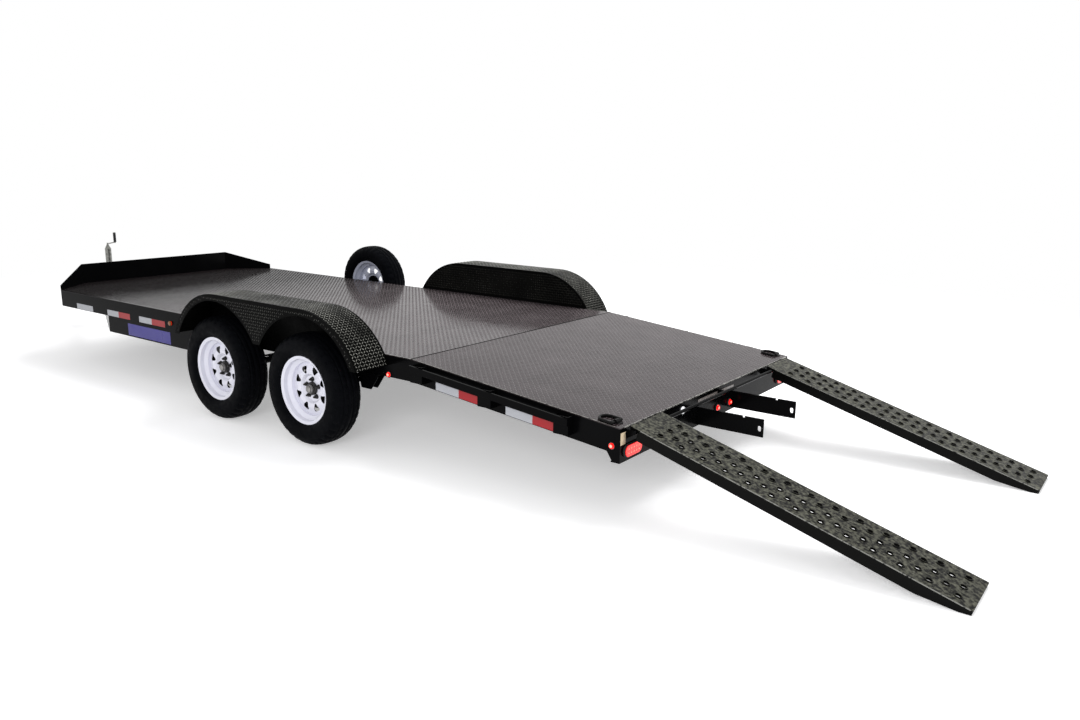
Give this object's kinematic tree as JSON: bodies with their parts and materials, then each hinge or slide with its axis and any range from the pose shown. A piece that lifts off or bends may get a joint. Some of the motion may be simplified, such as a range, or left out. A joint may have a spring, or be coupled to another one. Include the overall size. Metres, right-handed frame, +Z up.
{
  "type": "car trailer",
  "caption": "Tandem-axle flatbed car trailer: treadplate deck with dovetail, low bulkhead, treadplate fenders, spare wheel, A-frame tongue with jack, and punched ramps hooked on behind.",
  "frame": {"origin": "on the ground, under the middle of the overall length and width", "axes": "+X to the rear, +Y to the kerb side, +Z up"},
  "size_m": [8.6978, 2.59, 0.9446],
  "materials": {
    "black_treadplate": "satin black paint on raised-pattern treadplate",
    "gloss_black": "gloss black paint",
    "zinc_steel": "zinc plated steel",
    "fender_treadplate": "gloss black paint on raised-pattern treadplate",
    "lamp_red": "red lens",
    "tyre_rubber": "black tyre rubber",
    "silver_rim": "silver paint",
    "white_rim": "gloss white paint",
    "hub_grey": "dark grease-stained casting",
    "ramp_black": "worn black paint",
    "dull_black_steel": "dull black paint"
  },
  "bodies": {
    "chassis": {"deck_plate": "black_treadplate", "dovetail_plate": "black_treadplate", "bulkhead": "gloss_black", "side_rails": "gloss_black", "dovetail_rails": "gloss_black", "nose_channel": "gloss_black", "floor_crossmembers": "gloss_black", "tongue_rails": "gloss_black", "tongue_legs": "gloss_black", "coupler": "gloss_black", "jack_tube": "zinc_steel", "axle_beams": "gloss_black", "backing_plates": "gloss_black", "leaf_springs": "gloss_black", "spring_clamps": "gloss_black", "equalisers": "gloss_black", "spring_hangers": "gloss_black", "fender_left": "fender_treadplate", "fender_right": "fender_treadplate", "rear_apron": "gloss_black", "hook_bar": "gloss_black", "cradle_arms": "gloss_black", "tail_lights": "lamp_red", "id_lights": "lamp_red", "side_markers": "lamp_red", "stake_pockets": "gloss_black", "rub_rails": "gloss_black", "spare_bracket": "gloss_black", "spare_tyre": "tyre_rubber", "spare_rim": "silver_rim", "ring_clips": "dull_black_steel"},
    "wheel_front_left": {"tyre_front_left": "tyre_rubber", "rim_front_left": "white_rim", "hub_front_left": "hub_grey"},
    "wheel_front_right": {"tyre_front_right": "tyre_rubber", "rim_front_right": "white_rim", "hub_front_right": "hub_grey"},
    "wheel_rear_left": {"tyre_rear_left": "tyre_rubber", "rim_rear_left": "white_rim", "hub_rear_left": "hub_grey"},
    "wheel_rear_right": {"tyre_rear_right": "tyre_rubber", "rim_rear_right": "white_rim", "hub_rear_right": "hub_grey"},
    "jack_screw": {"jack_crank": "zinc_steel"},
    "jack_ram": {"jack_leg": "zinc_steel"},
    "ramp_left_body": {"ramp_left": "ramp_black"},
    "ring_left_body": {"ring_left": "dull_black_steel"},
    "ramp_right_body": {"ramp_right": "ramp_black"},
    "ring_right_body": {"ring_right": "dull_black_steel"}
  },
  "joints": [
    {"name": "wheel_front_left_spin", "type": "hinge", "parent": "chassis", "child": "wheel_front_left", "pos_m": [-0.21989, -1.1635, 0.344], "axis": [0, 1, 0], "continuous": true},
    {"name": "wheel_front_right_spin", "type": "hinge", "parent": "chassis", "child": "wheel_front_right", "pos_m": [-0.21989, 1.1635, 0.344], "axis": [0, 1, 0], "continuous": true},
    {"name": "wheel_rear_left_spin", "type": "hinge", "parent": "chassis", "child": "wheel_rear_left", "pos_m": [0.67011, -1.1635, 0.344], "axis": [0, 1, 0], "continuous": true},
    {"name": "wheel_rear_right_spin", "type": "hinge", "parent": "chassis", "child": "wheel_rear_right", "pos_m": [0.67011, 1.1635, 0.344], "axis": [0, 1, 0], "continuous": true},
    {"name": "jack_crank_turn", "type": "hinge", "parent": "chassis", "child": "jack_screw", "pos_m": [-3.90889, 0, 0.791], "axis": [0, 0, 1], "range_deg": [-7200, 14040]},
    {"name": "jack_ram_slide", "type": "slide", "parent": "chassis", "child": "jack_ram", "axis": [0, 0, 1], "range_m": [-0.102, 0.202]},
    {"name": "ramp_left_hook", "type": "hinge", "parent": "chassis", "child": "ramp_left_body", "pos_m": [2.81811, -0.82, 0.442], "axis": [0, -1, 0], "range_deg": [0, 60]},
    {"name": "ramp_right_hook", "type": "hinge", "parent": "chassis", "child": "ramp_right_body", "pos_m": [2.81811, 0.82, 0.442], "axis": [0, -1, 0], "range_deg": [0, 60]},
    {"name": "ring_left_flap", "type": "hinge", "parent": "chassis", "child": "ring_left_body", "pos_m": [2.71184, -0.981, 0.47926], "axis": [0, 1, 0], "range_deg": [0, 115]},
    {"name": "ring_right_flap", "type": "hinge", "parent": "chassis", "child": "ring_right_body", "pos_m": [2.71184, 0.981, 0.47926], "axis": [0, 1, 0], "range_deg": [0, 115]}
  ],
  "couplings": [
    {"joint": "jack_ram_slide", "follows": "jack_crank_turn", "m_per_rad": 0.00080851}
  ]
}
